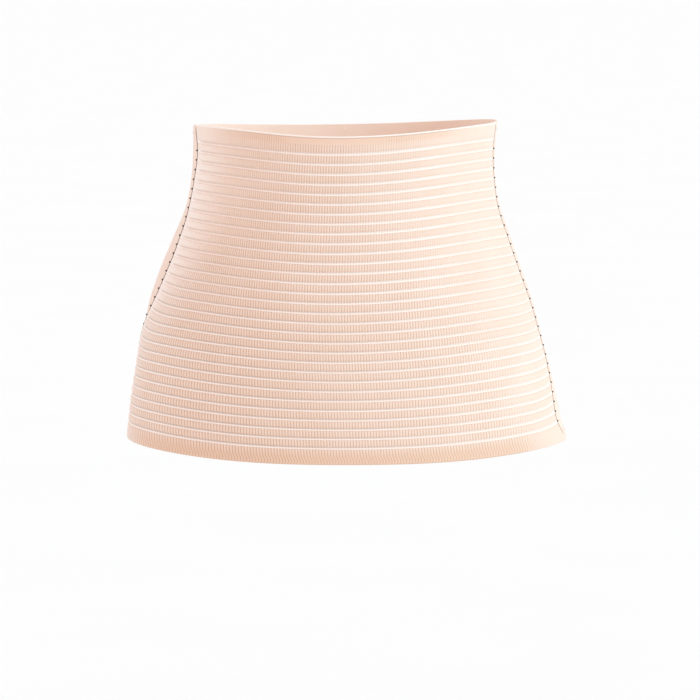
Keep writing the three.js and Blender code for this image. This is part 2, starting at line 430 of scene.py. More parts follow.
class Surface:
    """Points, faces and web coordinates of one piece, gathered patch by patch."""

    def __init__(self):
        self.points = []
        self.webs = []
        self.edges = []
        self.faces = {3: [], 4: []}
        self.slots = {3: [], 4: []}
        self.count = 0

    def add_points(self, points, web, edge=NO_SEAM):
        """Adds points and returns their numbers, in the shape of their grid."""
        shape = points.shape[:-1]
        self.points.append(points.reshape(-1, 3))
        self.webs.append(np.broadcast_to(web, (*shape, 2)).reshape(-1, 2))
        self.edges.append(np.broadcast_to(edge, (*shape, 2)).reshape(-1, 2))
        numbers = np.arange(self.count, self.count + math.prod(shape)).reshape(shape)
        self.count += math.prod(shape)
        return numbers

    def add_faces(self, faces, slot=0):
        """Each column of faces holds one corner of every face."""
        faces = np.stack(faces, axis=-1)
        corners = faces.shape[-1]
        faces = faces.reshape(-1, corners)
        self.faces[corners].append(faces)
        self.slots[corners].append(np.full(len(faces), slot))

    def join_rows(self, numbers, slot=0, inward=False):
        """Faces between the rows of a grid. Rows go up and columns go towards +turn."""
        if inward:
            numbers = numbers[:, ::-1]
        low, high = numbers[:-1], numbers[1:]
        self.add_faces((low[:, :-1], low[:, 1:], high[:, 1:], high[:, :-1]), slot)

    def add_rings(self, points, slot=0):
        """Closed rings of points, each joined to the next."""
        numbers = self.add_points(points, (0, 0))
        self.join_rows(np.concatenate([numbers, numbers[:, :1]], axis=1), slot)

    def zip_edge(self, first, second, first_levels, second_levels):
        """Triangles between two edges whose points are at different levels."""
        i = j = 0
        found = []
        while i < len(first) - 1 or j < len(second) - 1:
            first_next = first_levels[i + 1] if i < len(first) - 1 else math.inf
            second_next = second_levels[j + 1] if j < len(second) - 1 else math.inf
            if first_next <= second_next:
                found.append((first[i], second[j], first[i + 1]))
                i += 1
            else:
                found.append((first[i], second[j], second[j + 1]))
                j += 1
        self.add_faces(tuple(np.array(found).T))

    def make(self, name, materials, sharp=SHARP_ANGLE):
        """A Blender object of what was gathered."""
        faces = [np.concatenate(self.faces[n]) for n in (3, 4) if self.faces[n]]
        slots = [np.concatenate(self.slots[n]) for n in (3, 4) if self.slots[n]]
        corners = np.concatenate([f.reshape(-1) for f in faces])
        sizes = np.concatenate([np.full(len(f), f.shape[1]) for f in faces])
        mesh = bpy.data.meshes.new(name)
        mesh.vertices.add(self.count)
        mesh.vertices.foreach_set("co", np.concatenate(self.points).astype(np.float32).ravel())
        mesh.loops.add(len(corners))
        mesh.loops.foreach_set("vertex_index", corners.astype(np.int32))
        mesh.polygons.add(len(sizes))
        starts = np.concatenate([[0], np.cumsum(sizes)[:-1]])
        mesh.polygons.foreach_set("loop_start", starts.astype(np.int32))
        mesh.polygons.foreach_set("material_index", np.concatenate(slots).astype(np.int32))
        mesh.update(calc_edges=True)
        for map_name, values in (("Web", self.webs), ("Edge", self.edges)):
            layer = mesh.uv_layers.new(name=map_name)
            values = np.concatenate(values)[corners].astype(np.float32)
            layer.data.foreach_set("uv", values.ravel())
        mesh.shade_smooth()
        if sharp is not None:
            mesh.set_sharp_from_angle(angle=sharp)
        for material in materials:
            mesh.materials.append(material)
        piece = bpy.data.objects.new(name, mesh)
        bpy.context.scene.collection.objects.link(piece)
        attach(piece, BODY)
        return piece


# Front panel: patches of ribbed web between the side seams.
def rib_strength(from_seam, height, on_right):
    """How clearly the ribs stand out: they die out towards the seams, more so on the right."""
    span = side_values(RIB_FADES, height, on_right) * MM
    start = np.where(on_right, RIGHT_FADE_START, LEFT_FADE_START)
    return LEAST_RIB + (1 - LEAST_RIB) * smooth_step(start, 1, from_seam / span)


def rib_pitch(turn, height):
    """The length of web that one rib takes."""
    spread = side_values(RIB_SPREADS, height, turn >= 0)
    share = np.minimum(np.abs(turn) / SPREAD_TURN, np.where(spread < 0, CLOSE_LIMIT, WIDE_LIMIT))
    pitch = RIB_PITCH_HEM + (RIB_PITCH_TOP - RIB_PITCH_HEM) * height
    return pitch * (1 + spread * share**2)


def patch_columns(left, right, phases):
    """Where a patch has columns of points, in ribs, and where they would be with straight seams."""
    first, last = left.mean(), right.mean()
    ends = np.array(END_COLUMNS)
    room = ends[-1] + END_ROOM
    ribs = np.arange(math.floor(first), math.ceil(last) + 1)
    inner = np.sort((ribs[:, None] + np.array(phases)[None, :]).ravel())
    inner = inner[(inner > first + room) & (inner < last - room)]
    base = np.concatenate([first + ends, inner, (last - ends)[::-1]])
    near_left = 1 - smooth_step(0, SEAM_WARP_RIBS, base - first)
    near_right = 1 - smooth_step(0, SEAM_WARP_RIBS, last - base)
    place = base[None, :] + (left - first)[:, None] * near_left
    return place + (right - last)[:, None] * near_right, base


def panel_patch(
    surface, levels, distances, rib_depths, phases, leans=None, plain_strip=None, seam_rise=None
):
    """One strip of the panel, with values for each row of points. plain_strip(level, rib) is 0
    where there are no ribs."""
    heights = np.clip(levels / HEIGHT, 0, 1)
    scale = RowScale(heights, PANEL_OUTSIDE)
    rib_scale = RowScale(heights, PANEL_OUTSIDE, unit=rib_pitch)
    seams = seam_turn(-1, heights), seam_turn(1, heights)
    place, base = patch_columns(*(rib_scale.length(seam) for seam in seams), phases)
    length = scale.length(rib_scale.turn(place))
    from_left = length - scale.length(seams[0])[:, None]
    from_right = scale.length(seams[1])[:, None] - length
    from_seam = np.maximum(np.minimum(from_left, from_right), 0)
    if leans is not None:
        place = place + leans[:, None] * smooth_step(0, LEAN_REACH, from_seam)
    turn = rib_scale.turn(place)
    risen = heights[:, None]
    for side in (-1, 1):
        near = (1 - np.clip(from_seam / LIFT_SPAN, 0, 1)) ** 2 * (base * side > 0)
        risen = risen + seam_lift(side, heights[:, None]) / HEIGHT * near
        turn = turn + (seam_turn(side, risen) - seam_turn(side, heights[:, None])) * near
    groove = np.where(np.abs(base - np.round(base)) > GROOVE_PHASE, 1.0, 0.0)
    strength = rib_strength(from_seam, heights[:, None], base[None, :] > 0)
    strength = strength * np.minimum(rib_depths[:, None] / RIB_DEPTH, 1)
    if plain_strip is not None:
        strength = strength * plain_strip(levels[:, None], base[None, :])
    distance = distances[:, None]
    if seam_rise is not None:
        distance = distance + seam_rise[:, None] * (1 - smooth_step(*SEAM_FLARE, from_seam))
    distance = distance - RIB_DEPTH * groove[None, :] * strength
    drop = np.interp(from_seam / MM, END_PROFILE["from_seam"], END_PROFILE["drop"]) * MM
    distance = np.minimum(distance, PANEL_OUTSIDE - drop)
    web = np.stack(np.broadcast_arrays(base[None, :], levels[:, None] / MM), axis=-1)
    edge = np.stack(np.broadcast_arrays(from_seam / MM, strength), axis=-1)
    points = off_body(turn, np.clip(risen, 0, 1), distance)
    surface.join_rows(surface.add_points(points, web, edge))


def stripe_level(stripe):
    """The lower edge of a stripe, counted from the hem."""
    return HEM_HEIGHT + stripe * (STRIPE_HEIGHT + BAND_HEIGHT)


BAND_PROFILE = named_columns(
    "share out rib",
    (0.00, -1.10, 0.6),
    (0.04, -0.34, 0.9),
    (0.12, -0.05, 1.0),
    (0.50, 0.08, 1.0),
    (0.86, -0.02, 1.0),
    (0.95, -0.30, 0.9),
    (1.00, -0.90, 0.6),
)


def ribbed_bands(material):
    """The raised bands between the stripes."""
    surface = Surface()
    distances = PANEL_OUTSIDE + BAND_PROFILE["out"] * MM
    for band in range(STRIPE_COUNT - 1):
        levels = stripe_level(band) + STRIPE_HEIGHT + BAND_PROFILE["share"] * BAND_HEIGHT
        panel_patch(surface, levels, distances, BAND_PROFILE["rib"] * RIB_DEPTH, RIB_PHASES)
    return surface.make("ribbed_bands", [material], sharp=None)


# A stripe: a narrow pale ridge and the openwork over it. rise is for the rows next to the seams.
STRIPE_PROFILE = named_columns(
    "level out net rise",
    (-0.30, -1.45, 0.0, 0.3),
    (0.05, -0.80, 0.0, 0.3),
    (0.35, -0.42, 0.08, 0.2),
    (0.75, -0.32, 0.10, 0.2),
    (1.15, -0.46, 0.10, 0.3),
    (1.45, -0.72, 0.15, 0.5),
    (1.85, -0.88, 0.25, 0.6),
    (2.90, -0.95, 0.25, 0.6),
)


def openwork_stripes(material):
    """The pale stripes, each with a ladder of threads above its ridge."""
    surface = Surface()
    level, out, net, rise = (STRIPE_PROFILE[name] * MM for name in ("level", "out", "net", "rise"))
    for stripe in range(STRIPE_COUNT):
        levels = stripe_level(stripe) + level
        panel_patch(surface, levels, PANEL_OUTSIDE + out, net, NET_PHASES, seam_rise=rise)
    return surface.make("openwork_stripes", [material], sharp=None)


HEADER_PROFILE = named_columns(
    "level out rib",
    (0.00, -1.30, 0.6),
    (0.35, -0.42, 0.9),
    (0.90, -0.06, 1.0),
    (3.40, 0.08, 1.0),
    (5.60, 0.06, 1.0),
    (6.30, 0.02, 1.0),
    (7.20, -0.04, 1.0),
    (8.60, -0.08, 1.0),
    (9.80, -0.12, 0.9),
    (10.5, -0.20, 0.6),
    (11.1, -0.34, 0.2),
    (11.4, -0.18, 0.0),
    (12.0, 0.05, 0.0),
    (12.45, -0.25, 0.0),
    (12.6, -1.10, 0.0),
    (12.45, -1.90, 0.0),
    (11.9, -2.25, 0.0),
    (10.5, -2.26, 0.0),
    (10.4, -2.00, 0.0),
)
# Where the header has no ribs: from rib to rib, how many ribs its ends take, and how high.
STRIP_ENDS = (-17, 8)
STRIP_SOFT_ENDS = 12
STRIP_LEVELS = (HEADER_FOOT + 5.6 * MM, HEADER_FOOT + 6.4 * MM)

HEM_PROFILE = named_columns(
    "level out rib lean",
    (2.10, -2.00, 0.0, 0.1),
    (2.00, -2.26, 0.0, 0.1),
    (0.60, -2.25, 0.0, 0.1),
    (0.12, -1.90, 0.1, 0.1),
    (0.00, -1.10, 0.3, 0.1),
    (0.20, -0.40, 0.5, 0.15),
    (0.80, -0.08, 0.8, 0.2),
    (1.50, 0.04, 0.8, 0.35),
    (2.30, 0.02, 1.0, 0.5),
    (2.90, -0.08, 1.2, 0.55),
    (3.60, 0.04, 1.2, 0.5),
    (4.60, 0.08, 1.2, 0.35),
    (5.60, 0.08, 1.1, 0.15),
    (6.60, 0.08, 1.1, 0.0),
    (8.50, 0.10, 1.0, 0.0),
    (11.3, 0.00, 1.0, 0.0),
    (11.85, -0.30, 0.9, 0.0),
    (12.2, -1.00, 0.6, 0.0),
)


def header_strip(level, rib):
    """1 where the header has ribs, 0 on the plain strip in its middle."""
    first, last = STRIP_ENDS
    inside = smooth_step(first - STRIP_SOFT_ENDS, first, rib)
    inside = inside * (1 - smooth_step(last, last + STRIP_SOFT_ENDS, rib))
    return 1 - inside * smooth_step(*STRIP_LEVELS, level)


def edge_band(name, profile, foot, material, plain_strip=None):
    """A tall band along an edge of the panel. Its rows go on over the edge and down the inside."""
    surface = Surface()
    levels = foot + profile["level"] * MM
    distances = PANEL_OUTSIDE + profile["out"] * MM
    rib = profile["rib"] * RIB_DEPTH
    panel_patch(surface, levels, distances, rib, RIB_PHASES, profile.get("lean"), plain_strip)
    return surface.make(name, [material], sharp=None)


def closed_web(columns, outer_levels, inner_levels, turn_rows, outer_at, inner_at):
    """A closed wall of web. turn_rows(heights) gives the turns and lengths of each row's columns."""
    surface = Surface()
    grids = []
    for levels, distance_at, inward in (
        (outer_levels, outer_at, False),
        (inner_levels, inner_at, True),
    ):
        heights = np.clip(levels / HEIGHT, 0, 1)
        turn, length = turn_rows(heights)
        distance = distance_at(levels[:, None], np.arange(columns + 1)[None, :])
        points = off_body(turn, heights[:, None], distance)
        web = np.stack(np.broadcast_arrays(length / MM, levels[:, None] / MM), axis=-1)
        grids.append(surface.add_points(points, web))
        surface.join_rows(grids[-1], inward=inward)
    outer, inner = grids
    surface.add_faces((inner[0, :-1], inner[0, 1:], outer[0, 1:], outer[0, :-1]))
    surface.add_faces((outer[-1, :-1], outer[-1, 1:], inner[-1, 1:], inner[-1, :-1]))
    surface.zip_edge(inner[:, 0], outer[:, 0], inner_levels, outer_levels)
    surface.zip_edge(outer[:, -1], inner[:, -1], outer_levels, inner_levels)
    return surface


def even_turns(first_at, last_at, columns, distance, start=0.0):
    """Turns and lengths of evenly spaced columns between two turns that depend on the height."""

    def turn_rows(heights):
        scale = RowScale(heights, distance, start)
        first = scale.length(first_at(heights, scale))
        last = scale.length(last_at(heights, scale))
        share = np.linspace(0, 1, columns + 1)[None, :]
        length = first[:, None] + (last - first)[:, None] * share
        return scale.turn(length), length

    return turn_rows


def shifted(turn, scale, length):
    """A turn for each row, moved by a length along the web."""
    return scale.turn((scale.length(turn) + length)[:, None])[:, 0]


def seam_edge(side, offset):
    """A web's edge along a side seam, moved by a length along the web."""
    return lambda heights, scale: shifted(seam_turn(side, heights), scale, offset)


def steady_edge(turn, offset):
    """A web's edge along one turn, moved by a length along the web."""
    return lambda heights, scale: shifted(np.full(len(heights), turn), scale, offset)


def level_rows(low, high, count, edge_rows):
    """The levels of evenly spaced rows, and of a few more that are close to both edges."""
    extra = np.array(edge_rows)
    return np.sort(np.concatenate([np.linspace(low, high, count), low + extra, high - extra]))


def flat_face(distance):
    """A face that lies off the body by one distance."""
    return lambda level, column: distance + 0 * level + 0 * column


def backing_web(material):
    """The flat web that the bands and stripes of the panel stand on."""
    ends = seam_edge(-1, BACKING_INSET), seam_edge(1, -BACKING_INSET)
    turn_rows = even_turns(*ends, BACKING_COLUMNS, PANEL_INSIDE)
    levels = np.linspace(BACKING_EDGE, HEIGHT - BACKING_EDGE, BACKING_ROWS)
    faces = flat_face(BACKING_FACE), flat_face(PANEL_INSIDE)
    return closed_web(BACKING_COLUMNS, levels, levels, turn_rows, *faces).make("front_web", [material])


# Wings and closure.
def hem_rise(level):
    """How far the folded hem at a plain web's top and bottom edge stands up."""
    from_edge = np.minimum(level, HEIGHT - level)
    return WING_HEM_RISE * (1 - smooth_step(WING_HEM - WING_HEM_STEP, WING_HEM, from_edge))


def edge_roll(level):
    """How far a wing's face turns in towards the middle of the web at its rolled edges."""
    from_edge = np.minimum(level, HEIGHT - level)
    return WING_THICKNESS * WING_ROLL_SHARE * (1 - quarter_round(from_edge / WING_ROLL))


def wing_web(name, side, material):
    """A plain web from under a side seam to the middle of the back."""
    front = seam_edge(side, -side * SEAM_LAP)
    back = steady_edge(side * BACK_TURN, -side * WING_END_GAP / 2)
    ends = (back, front) if side < 0 else (front, back)
    start = side * WING_MIDDLE_TURN
    turn_rows = even_turns(*ends, TWILL_COLUMNS, WING_THICKNESS, start)
    levels = level_rows(0, HEIGHT, TWILL_ROWS + 1, WING_EDGE_ROWS)
    inner_levels = level_rows(0, HEIGHT, WING_INNER_ROWS, WING_EDGE_ROWS)
    rise = np.array(TWILL_RISE)

    def outer(level, column):
        row = np.rint(level / HEIGHT * TWILL_ROWS).astype(int)
        plain = 1 - HEM_CALM * hem_rise(level) / WING_HEM_RISE
        from_edge = smooth_step(*TWILL_EDGE, np.minimum(level, HEIGHT - level))
        twill = rise[(column - row) % len(rise)] - rise.max()
        face = WING_THICKNESS + hem_rise(level) - edge_roll(level)
        return face + twill * plain * from_edge

    def inner(level, column):
        return edge_roll(level) + 0 * column

    surface = closed_web(TWILL_COLUMNS, levels, inner_levels, turn_rows, outer, inner)
    return surface.make(name, [material])


def back_closure(material):
    """The hook-and-loop strip over the ends of the wings, with a raised border."""
    inside = WING_THICKNESS + WING_HEM_RISE + CLOSURE_CLEARANCE
    thickness = PANEL_INSIDE + FASTENER_THICKNESS - inside
    ends = (steady_edge(BACK_TURN, way * FASTENER_WIDTH / 2) for way in (-1, 1))
    turn_rows = even_turns(*ends, CLOSURE_COLUMNS, inside, BACK_TURN)
    low = FASTENER_INSET
    high = HEIGHT - FASTENER_INSET

    def outer(level, column):
        rim = np.minimum(column, CLOSURE_COLUMNS - column) * FASTENER_WIDTH / CLOSURE_COLUMNS
        rim = np.minimum(rim, np.minimum(level - low, high - level))
        row = np.rint((level - low) / MM).astype(int)
        field = smooth_step(BORDER_WIDTH, BORDER_WIDTH + BORDER_STEP, rim)
        first, second = (np.sin(column * across + row * up) for across, up in PILE_WAVES)
        rib = np.where(column % 2 == 0, 0.0, -BORDER_RIB)
        face = inside + thickness - FIELD_DROP * field + PILE_RISE * (first * second) * field
        face = face + rib * (1 - field)
        return face - thickness * CLOSURE_ROLL_SHARE * (1 - quarter_round(rim / CLOSURE_ROLL))

    levels = level_rows(low, high, CLOSURE_ROWS, CLOSURE_EDGE_ROWS)
    inner_levels = np.linspace(low, high, CLOSURE_INNER_ROWS)
    faces = outer, flat_face(inside)
    surface = closed_web(CLOSURE_COLUMNS, levels, inner_levels, turn_rows, *faces)
    return surface.make("back_closure", [material])


# Threads.
def tube(surface, path, radius, sides=6):
    """A thread along a path, tapered at both ends."""
    path = np.asarray(path)
    along = np.gradient(path, axis=0)
    along /= np.linalg.norm(along, axis=1, keepdims=True)
    off_path = np.array([0.3, 0.5, 0.81])
    first = np.cross(along, off_path)
    first /= np.linalg.norm(first, axis=1, keepdims=True)
    second = np.cross(along, first)
    angle = np.linspace(0, 2 * np.pi, sides, endpoint=False)
    size = np.full(len(path), radius)
    size[0] = size[-1] = radius * THREAD_TAPER
    ring = np.cos(angle)[None, :, None] * first[:, None, :]
    ring = ring + np.sin(angle)[None, :, None] * second[:, None, :]
    surface.add_rings(path[:, None, :] + ring * size[:, None, None])


def knot(surface, centre, radius, rings=7, sides=8):
    """A small round knot of thread, in the second of the piece's materials."""
    tilt = np.radians(np.linspace(-90, 90, rings))
    angle = np.radians(np.arange(sides) * 360 / sides)
    ring = np.stack([np.cos(angle), np.sin(angle), np.zeros(sides)], axis=-1)
    across = np.cos(tilt) * radius + KNOT_TIP
    path = centre[None, :] + (np.sin(tilt) * radius)[:, None] * np.array([0.0, 0.0, 1.0])
    surface.add_rings(path[:, None, :] + ring[None, :, :] * across[:, None, None], slot=1)


def seam_thread(name, side, knot_radius, materials):
    """The dark thread down a side seam, knotted at the end of each stripe but the top one; its dark,
    and the knots', is partly painted shadow of the seam's valley and of the holes at the stripes' ends.
    """
    surface = Surface()

    def points(levels, lift=0.0):
        heights = levels / HEIGHT
        scale = RowScale(heights, PANEL_OUTSIDE)
        turn = shifted(seam_turn(side, heights), scale, -side * THREAD_FROM_SEAM)
        return off_body(turn, heights, PANEL_OUTSIDE - THREAD_DROP + lift)

    levels = np.linspace(SEAM_THREAD_FOOT, HEIGHT - SEAM_THREAD_HEAD, SEAM_THREAD_ROWS)
    tube(surface, points(levels), SEAM_THREAD_RADIUS)
    knots = np.array([stripe_level(stripe) + KNOT_LEVEL for stripe in range(STRIPE_COUNT - 1)])
    knots = knots + seam_lift(side, knots / HEIGHT)
    round_side = smooth_step(*KNOT_SINK_TURNS, np.abs(seam_turn(side, knots / HEIGHT)))
    for centre in points(knots, KNOT_RAISE - (KNOT_RAISE + KNOT_SINK) * round_side):
        knot(surface, centre, knot_radius)
    return surface.make(name, materials, sharp=None)


def stitch_row(surface, turns, levels, distance, length, steps=5):
    """A row of stitches along a line through evenly spaced turns and levels."""
    count = max(int(length / (STITCH_LENGTH + STITCH_GAP)), 1)
    share = STITCH_LENGTH / (STITCH_LENGTH + STITCH_GAP)
    place = (np.arange(count)[:, None] + np.linspace(0, share, steps)[None, :]) / count
    turn, level = (np.interp(place, np.linspace(0, 1, len(line)), line) for line in (turns, levels))
    bow = np.sin(np.linspace(0, np.pi, steps)) * STITCH_RADIUS * STITCH_BOW
    for path in off_body(turn, level / HEIGHT, distance + bow[None, :]):
        tube(surface, path, STITCH_RADIUS, sides=5)


def wing_stitches(name, side, material):
    """The stitch lines of a wing's two hems."""
    surface = Surface()
    from_edge = WING_HEM - WING_STITCH_INSET
    end = side * BACK_TURN
    for level in (from_edge, HEIGHT - from_edge):
        height = np.array([level / HEIGHT])
        seam = seam_turn(side, height)[0]
        scale = RowScale(height, WING_THICKNESS)
        length = abs(scale.length(np.array([end])) - scale.length(np.array([seam])))[0]
        margin = (end - seam) * WING_STITCH_MARGIN
        turns = (seam + margin, end - margin)
        stitch_row(surface, turns, (level, level), WING_THICKNESS + WING_HEM_RISE, length)
    return surface.make(name, [material], sharp=None)


def closure_stitches(material):
    """Two stitch lines down each long edge of the closure, joined across its ends."""
    surface = Surface()
    outside = PANEL_INSIDE + FASTENER_THICKNESS
    distance = outside - CLOSURE_STITCH_DEPTH
    for inset in CLOSURE_STITCH_INSETS:
        half = FASTENER_WIDTH / 2 - inset
        ends = (FASTENER_INSET + inset, HEIGHT - FASTENER_INSET - inset)
        levels = np.linspace(*ends, CLOSURE_STITCH_ROWS)
        scale = RowScale(levels / HEIGHT, outside, BACK_TURN)
        middle = np.full(len(levels), BACK_TURN)
        low, high = (shifted(middle, scale, way * half) for way in (-1, 1))
        for turns, level, corner in ((low, ends[0], high[0]), (high, ends[1], high[-1])):
            stitch_row(surface, turns, ends, distance, ends[1] - ends[0])
            across = (corner - BACK_TURN) * CLOSURE_STITCH_REACH
            turns = (BACK_TURN - across, BACK_TURN + across)
            stitch_row(surface, turns, (level, level), distance, 2 * half)
    return surface.make("closure_stitches", [material], sharp=None)


# Materials.
def linear(red, green, blue):
    """A colour from 0 to 255, as a shader takes it."""
    return (*(((v / 255 + 0.055) / 1.055) ** 2.4 for v in (red, green, blue)), 1.0)


# The ribbed web, and its edges.
RIB = linear(243, 215, 198)
RIB_CLOUD = linear(238, 208, 189)
RIB_FLECK = linear(250, 229, 216)
# Painted highlight: the paler rib colour painted next to the left side seam.
RIB_PAINTED_HIGHLIGHT = linear(252, 236, 227)
# Painted shade in the grooves between the ribs.
GROOVE_SHADE = linear(213, 174, 150)
EDGE_TAN = linear(236, 196, 168)
# Painted shade: a darker line below the rolled top rim and along the hem's bottom edge.
EDGE_SHADE_LINE = linear(202, 170, 152)
# Painted highlight along the rolled top rim.
RIM_HIGHLIGHT = linear(255, 243, 235)
# The stripes: the net and its gaps, painted dark as the shadow under each band, and the ridge below
# them, with a colour for where painted shade dulls it.
NET_SHADOW = linear(212, 190, 178)
NET_GAP_SHADOW = linear(196, 170, 156)
RIDGE = linear(253, 240, 232)
RIDGE_FLECK = linear(255, 246, 240)
# The ridge's colour under painted shade.
RIDGE_SHADED = linear(246, 222, 208)
RIDGE_BEAD = linear(238, 210, 194)
# Loop pile.
PILE_DARK = linear(226, 196, 178)
PILE_LIGHT = linear(240, 214, 198)
PILE_CLOUD = linear(224, 192, 173)
# Webs and threads: the lighter and the darker colour of each.
WING_TONES = (linear(249, 224, 208), linear(238, 208, 190))
BACKING_TONES = (linear(244, 222, 209), linear(236, 209, 194))
# The seam threads' colours are partly painted shadow of the valley that each lies in: the left one is
# painted darker as the shaded side, the right one paler as the lit side.
LEFT_THREAD_SHADED_TONES = (linear(176, 148, 134), linear(154, 126, 112))
RIGHT_THREAD_LIT_TONES = (linear(206, 182, 168), linear(188, 164, 150))
# The knots are painted dark partly as the shadow of the holes where the stripes end at the seam.
KNOT_SHADOW_TONES = (linear(104, 76, 64), linear(80, 56, 48))
STITCH_TONES = (linear(246, 228, 218), linear(232, 208, 195))
# The pitch of the plain webs' fine diagonal lines and of the yarn's twists, in millimetres.
TWILL_PITCH = 0.55
TWIST_PITCH = 0.62
NET_PITCH = 0.35


class Nodes:
    """The node tree of one fabric material."""

    def __init__(self, name, roughness, sheen):
        self.material = bpy.data.materials.new(name)
        self.material.use_nodes = True
        self.tree = self.material.node_tree
        self.shader = self.tree.nodes["Principled BSDF"]
        self.shader.inputs["Roughness"].default_value = roughness
        self.shader.inputs["Specular IOR Level"].default_value = 0.25
        self.shader.inputs["Sheen Weight"].default_value = sheen
        self.shader.inputs["Sheen Roughness"].default_value = 0.5

    def node(self, kind, **settings):
        node = self.tree.nodes.new(kind)
        for key, value in settings.items():
            setattr(node, key, value)
        return node

    def feed(self, socket, value):
        if isinstance(value, bpy.types.NodeSocket):
            self.tree.links.new(value, socket)
        else:
            socket.default_value = value

    def math(self, operation, first, *others):
        """One operation, or the same one from value to value."""
        for other in others or (0.0,):
            node = self.node("ShaderNodeMath", operation=operation)
            self.feed(node.inputs[0], first)
            self.feed(node.inputs[1], other)
            first = node.outputs[0]
        return first

    def times(self, *values):
        return self.math("MULTIPLY", *values)

    def waves(self, value):
        """Goes up from 0 to 0.5 and back down while the value grows by 1."""
        return self.math("PINGPONG", value, 0.5)

    def ramp(self, value, low, high, to_low=0.0, to_high=1.0):
        node = self.node("ShaderNodeMapRange", interpolation_type="SMOOTHSTEP")
        for socket, number in zip(node.inputs, (value, low, high, to_low, to_high)):
            self.feed(socket, number)
        return node.outputs[0]

    def mix(self, share, first, second):
        node = self.node("ShaderNodeMix", data_type="RGBA")
        self.feed(node.inputs[0], share)
        self.feed(node.inputs[6], first)
        self.feed(node.inputs[7], second)
        return node.outputs[2]

    def noise(self, scale, detail=2.0):
        place = self.node("ShaderNodeTexCoord").outputs["Object"]
        node = self.node("ShaderNodeTexNoise")
        self.feed(node.inputs["Vector"], place)
        node.inputs["Scale"].default_value = scale
        node.inputs["Detail"].default_value = detail
        return node.outputs["Fac"]

    def place(self, name):
        """The two values of one of the piece's maps: Web holds ribs or millimetres along the web
        and millimetres up it, Edge the millimetres from the side seam and the ribs' strength."""
        place = self.node("ShaderNodeUVMap", uv_map=name).outputs[0]
        split = self.node("ShaderNodeSeparateXYZ")
        self.feed(split.inputs[0], place)
        return split.outputs[0], split.outputs[1]

    def bump(self, height, distance, strength):
        node = self.node("ShaderNodeBump")
        node.inputs["Strength"].default_value = strength
        node.inputs["Distance"].default_value = distance
        self.feed(node.inputs["Height"], height)
        self.feed(self.shader.inputs["Normal"], node.outputs[0])

    def colour(self, value):
        self.feed(self.shader.inputs["Base Color"], value)


# In the ramps of the materials, across counts ribs from the front's middle, and up, level and
# from_seam are in millimetres.
def left_seam_painted_highlight(nodes, across, up, from_seam):
    """Painted highlight: how much paler the web is painted next to the left side seam, standing in for
    the light and sheen on its left-facing side; less so in the header.
    """
    near = nodes.ramp(from_seam, 0.0, 62.0, 1.0, 0.0)
    header = nodes.ramp(up, HEADER_FOOT / MM - 20.0, HEADER_FOOT / MM, 1.0, 0.6)
    return nodes.times(near, header, nodes.ramp(across, -10.0, 10.0, 1.0, 0.0))


def band_material():
    """Peach ribs, with painted shade darker in the grooves, each twisted from fine yarn, and a painted
    highlight that makes them paler near the left seam. The header's plain strip and the hem's edge are
    a deeper tan, edged by a painted shade line, and the header's rim is painted pale as a painted
    highlight."""
    nodes = Nodes("ribbed_elastic", 0.85, 0.3)
    across, up = nodes.place("Web")
    from_seam, strength = nodes.place("Edge")
    foot = HEADER_FOOT / MM
    top = HEIGHT / MM
    cloud = nodes.ramp(nodes.noise(38, 3), 0.35, 0.65)
    rib = nodes.mix(nodes.times(cloud, 0.5), RIB, RIB_CLOUD)
    fleck = nodes.ramp(nodes.noise(1500, 2), 0.35, 0.7)
    rib = nodes.mix(nodes.times(fleck, 0.2), rib, RIB_FLECK)
    # Painted highlight next to the left seam.
    rib = nodes.mix(left_seam_painted_highlight(nodes, across, up, from_seam), rib, RIB_PAINTED_HIGHLIGHT)

    header = nodes.ramp(up, foot + 4.0, foot + 8.0, 0.0, 0.7)
    hem = nodes.ramp(up, 6.0, 13.0, 1.0, 0.0)
    inward = nodes.ramp(from_seam, 35.0, 80.0, 0.0, 0.7)
    tan = nodes.times(nodes.math("MAXIMUM", header, hem), inward)
    rib = nodes.mix(tan, rib, EDGE_TAN)

    # Painted shade in the grooves, fading with the ribs' strength: a little stronger away from the
    # middle and weaker far to the right.
    groove = nodes.times(nodes.ramp(nodes.waves(across), 0.24, 0.46), strength)
    groove_shade_by_side = nodes.ramp(nodes.math("ABSOLUTE", across), 8.0, 35.0, 0.85, 0.95)
    groove_shade_by_side = nodes.times(groove_shade_by_side, nodes.ramp(across, 20.0, 40.0, 1.0, 0.82))
    rib = nodes.mix(nodes.times(groove, groove_shade_by_side), rib, GROOVE_SHADE)

    # Painted shade lines below the rolled top rim and along the hem's bottom edge, on the tan parts
    # only.
    top_shade_line = nodes.ramp(up, top - 2.4, top - 1.7)
    hem_shade_line = nodes.ramp(up, 0.4, 1.0, 0.5, 0.0)
    rib = nodes.mix(nodes.times(nodes.math("MAXIMUM", top_shade_line, hem_shade_line), tan), rib, EDGE_SHADE_LINE)
    # Painted highlight on the rolled top rim.
    nodes.colour(nodes.mix(nodes.ramp(up, top - 1.3, top - 1.0), rib, RIM_HIGHLIGHT))

    twist = nodes.math("ADD", nodes.times(across, 2.0), nodes.math("DIVIDE", up, TWIST_PITCH))
    nodes.bump(nodes.math("ADD", nodes.waves(twist), nodes.times(fleck, 0.4)), 0.08 * MM, 0.6)
    return nodes.material


